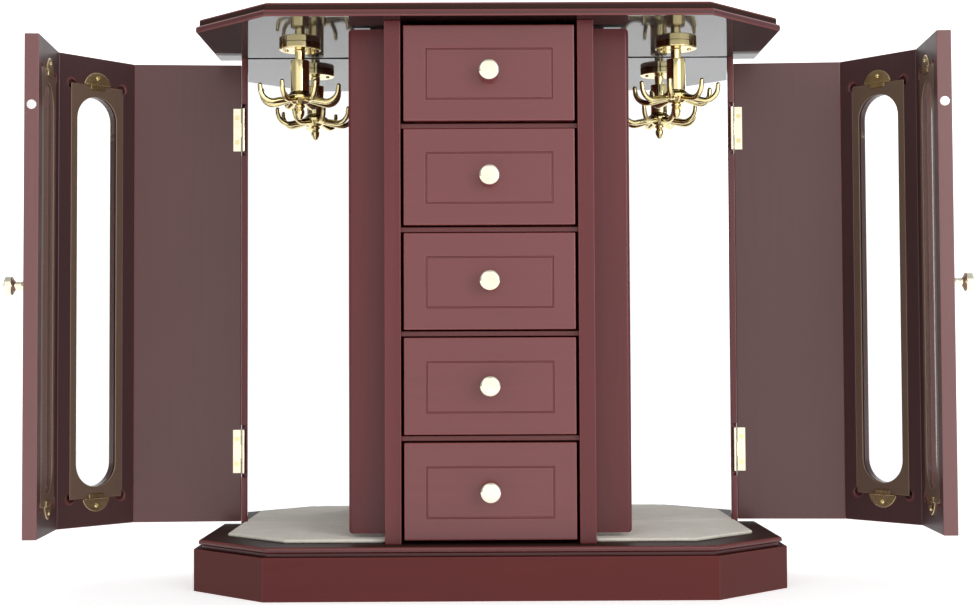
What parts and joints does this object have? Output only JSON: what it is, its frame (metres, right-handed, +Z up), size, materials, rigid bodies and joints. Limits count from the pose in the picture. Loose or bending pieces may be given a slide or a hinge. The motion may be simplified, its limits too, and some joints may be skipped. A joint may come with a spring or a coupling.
{
  "type": "jewellery chest with drawers",
  "caption": "Lacquered jewellery chest: a raised column of small drawers between mirror-backed necklace compartments with revolving hook carousels, behind wrap-around glazed doors.",
  "frame": {"origin": "centre of the underside of the whole model's box, with the doors open", "axes": "+Z up, -Y the front with the drawers, +X to the right as seen from the front"},
  "size_m": [0.5844, 0.1472, 0.3495],
  "materials": {
    "cherry_lacquer": "dark cherry stain under satin lacquer",
    "plain_wood": "unlacquered, smooth",
    "felt": "ivory felt",
    "mirror": "silvered glass",
    "glass": "clear",
    "bronze_card": "satin bronze-brown plate",
    "brass": "polished, bright",
    "nickel": "bright nickel plate"
  },
  "bodies": {
    "chest": {"plinth_rails": "cherry_lacquer", "plinth_corners": "cherry_lacquer", "plinth_sides": "cherry_lacquer", "bottom_panel": "plain_wood", "floor_board": "cherry_lacquer", "floor_pads": "felt", "top_board": "cherry_lacquer", "back_panel": "cherry_lacquer", "back_mirrors": "mirror", "column_walls": "cherry_lacquer", "drawer_shelves": "cherry_lacquer", "pilasters": "cherry_lacquer", "catch_plates": "nickel", "hinge_body_leaves": "brass", "hinge_pins": "brass", "fixing_screws": "brass", "carousel_spindles": "brass", "carousel_finials": "brass"},
    "drawer_1": {"drawer_1_front": "cherry_lacquer", "drawer_1_box": "plain_wood", "drawer_1_felt": "felt", "drawer_1_knob": "brass"},
    "drawer_2": {"drawer_2_front": "cherry_lacquer", "drawer_2_box": "plain_wood", "drawer_2_felt": "felt", "drawer_2_knob": "brass"},
    "drawer_3": {"drawer_3_front": "cherry_lacquer", "drawer_3_box": "plain_wood", "drawer_3_felt": "felt", "drawer_3_knob": "brass"},
    "drawer_4": {"drawer_4_front": "cherry_lacquer", "drawer_4_box": "plain_wood", "drawer_4_felt": "felt", "drawer_4_knob": "brass"},
    "drawer_5": {"drawer_5_front": "cherry_lacquer", "drawer_5_box": "plain_wood", "drawer_5_felt": "felt", "drawer_5_knob": "brass"},
    "left_door": {"left_side_panel": "cherry_lacquer", "left_corner_panel": "cherry_lacquer", "left_front_panel": "cherry_lacquer", "left_window_panes": "glass", "left_window_mats": "bronze_card", "left_window_clips": "brass", "left_door_screws": "brass", "left_door_knob": "brass", "left_door_magnet": "nickel", "left_hinge_door_leaves": "brass"},
    "right_door": {"right_side_panel": "cherry_lacquer", "right_corner_panel": "cherry_lacquer", "right_front_panel": "cherry_lacquer", "right_window_panes": "glass", "right_window_mats": "bronze_card", "right_window_clips": "brass", "right_door_screws": "brass", "right_door_knob": "brass", "right_door_magnet": "nickel", "right_hinge_door_leaves": "brass"},
    "left_rotor": {"left_carousel": "brass"},
    "right_rotor": {"right_carousel": "brass"}
  },
  "joints": [
    {"name": "drawer_1_slide", "type": "slide", "parent": "chest", "child": "drawer_1", "axis": [0, -1, 0], "range_m": [0, 0.075]},
    {"name": "drawer_2_slide", "type": "slide", "parent": "chest", "child": "drawer_2", "axis": [0, -1, 0], "range_m": [0, 0.075]},
    {"name": "drawer_3_slide", "type": "slide", "parent": "chest", "child": "drawer_3", "axis": [0, -1, 0], "range_m": [0, 0.075]},
    {"name": "drawer_4_slide", "type": "slide", "parent": "chest", "child": "drawer_4", "axis": [0, -1, 0], "range_m": [0, 0.075]},
    {"name": "drawer_5_slide", "type": "slide", "parent": "chest", "child": "drawer_5", "axis": [0, -1, 0], "range_m": [0, 0.075]},
    {"name": "left_door_hinge", "type": "hinge", "parent": "chest", "child": "left_door", "pos_m": [-0.163, 0.06341, 0.031], "axis": [0, 0, 1], "range_deg": [-3.5, 86.5]},
    {"name": "right_door_hinge", "type": "hinge", "parent": "chest", "child": "right_door", "pos_m": [0.163, 0.06341, 0.031], "axis": [0, 0, -1], "range_deg": [-3.5, 86.5]},
    {"name": "left_carousel_spin", "type": "hinge", "parent": "chest", "child": "left_rotor", "pos_m": [-0.12, 0.01441, 0.321], "axis": [0, 0, 1], "continuous": true},
    {"name": "right_carousel_spin", "type": "hinge", "parent": "chest", "child": "right_rotor", "pos_m": [0.12, 0.01441, 0.321], "axis": [0, 0, 1], "continuous": true}
  ]
}
